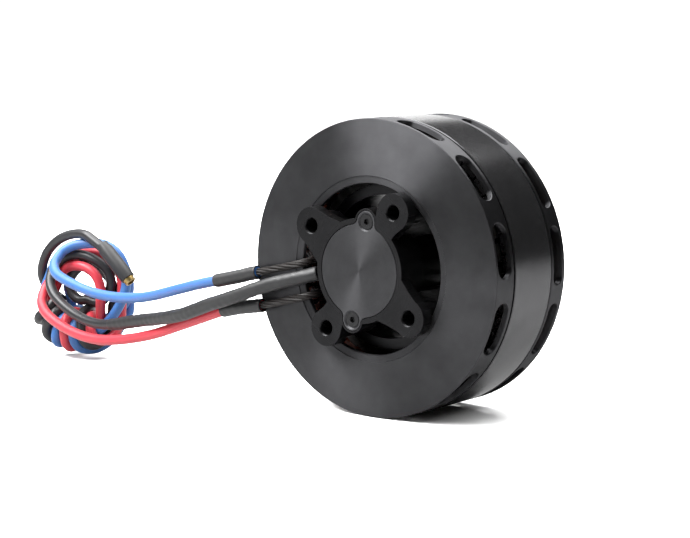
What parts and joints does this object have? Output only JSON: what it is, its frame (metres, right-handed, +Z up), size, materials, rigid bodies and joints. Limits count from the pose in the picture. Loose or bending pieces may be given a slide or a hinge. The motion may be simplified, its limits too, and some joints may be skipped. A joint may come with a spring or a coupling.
{
  "type": "brushless outrunner motor",
  "caption": "Flat ring-shaped outrunner motor: a slotted black rotor turns round a stator on a four-arm base, with three leads tied in a bundle.",
  "frame": {"origin": "centre of the mounting face on the motor's axis", "axes": "-Y out of the mounting face, +Y towards the propeller side, +Z up with the motor standing on its rim, leads towards -X"},
  "size_m": [0.2404, 0.0619, 0.1024],
  "materials": {
    "anodised_base": "satin black anodised, turned face",
    "anodised_cover": "satin black anodised, turned face",
    "anodised_rotor": "satin black anodised, turned",
    "black_can": "smooth black coating",
    "black_screw": "black oxide",
    "lamination_steel": "bare laminations",
    "slot_insulation": "matt",
    "enamelled_copper": "glossy enamel",
    "bearing_steel": "ground",
    "cage_brass": "brass",
    "spring_steel": "oiled",
    "magnet_plating": "nickel plated",
    "shaft_steel": "ground",
    "varnished_tail": "dark varnished wire bunch",
    "shrink_sleeve": "satin shrink tube",
    "blue_silicone": "satin silicone",
    "black_silicone": "satin silicone",
    "red_silicone": "satin silicone"
  },
  "bodies": {
    "stator": {"mounting_base": "anodised_base", "bearing_cover": "anodised_cover", "cover_screws": "black_screw", "stator_core": "lamination_steel", "front_insulator": "slot_insulation", "rear_insulator": "slot_insulation", "windings": "enamelled_copper", "front_bearing_outer": "bearing_steel", "rear_bearing_outer": "bearing_steel", "preload_washer": "spring_steel", "blue_winding_tail": "varnished_tail", "black_winding_tail": "varnished_tail", "red_winding_tail": "varnished_tail", "blue_sleeve": "shrink_sleeve", "black_sleeve": "shrink_sleeve", "red_sleeve": "shrink_sleeve", "blue_lead": "blue_silicone", "black_lead": "black_silicone", "red_lead": "red_silicone", "lead_bundle": "black_silicone", "blue_connector": "shrink_sleeve", "black_connector": "shrink_sleeve", "red_connector": "shrink_sleeve"},
    "rotor": {"front_ring": "anodised_rotor", "flux_ring": "black_can", "magnets": "magnet_plating", "rear_bell": "anodised_rotor", "shaft": "shaft_steel", "shaft_circlip": "spring_steel", "bell_screws": "black_screw", "front_bearing_inner": "bearing_steel", "rear_bearing_inner": "bearing_steel"},
    "front_ball_set": {"front_bearing_balls": "bearing_steel", "front_bearing_cage": "cage_brass"},
    "rear_ball_set": {"rear_bearing_balls": "bearing_steel", "rear_bearing_cage": "cage_brass"}
  },
  "joints": [
    {"name": "rotor_spin", "type": "hinge", "parent": "stator", "child": "rotor", "pos_m": [0, 0.025, 0], "axis": [0, 1, 0], "continuous": true},
    {"name": "front_balls_spin", "type": "hinge", "parent": "stator", "child": "front_ball_set", "pos_m": [0, 0.0077, 0], "axis": [0, 1, 0], "continuous": true},
    {"name": "rear_balls_spin", "type": "hinge", "parent": "stator", "child": "rear_ball_set", "pos_m": [0, 0.0371, 0], "axis": [0, 1, 0], "continuous": true}
  ],
  "couplings": [
    {"joint": "front_balls_spin", "follows": "rotor_spin", "ratio": 0.425},
    {"joint": "rear_balls_spin", "follows": "rotor_spin", "ratio": 0.425}
  ]
}
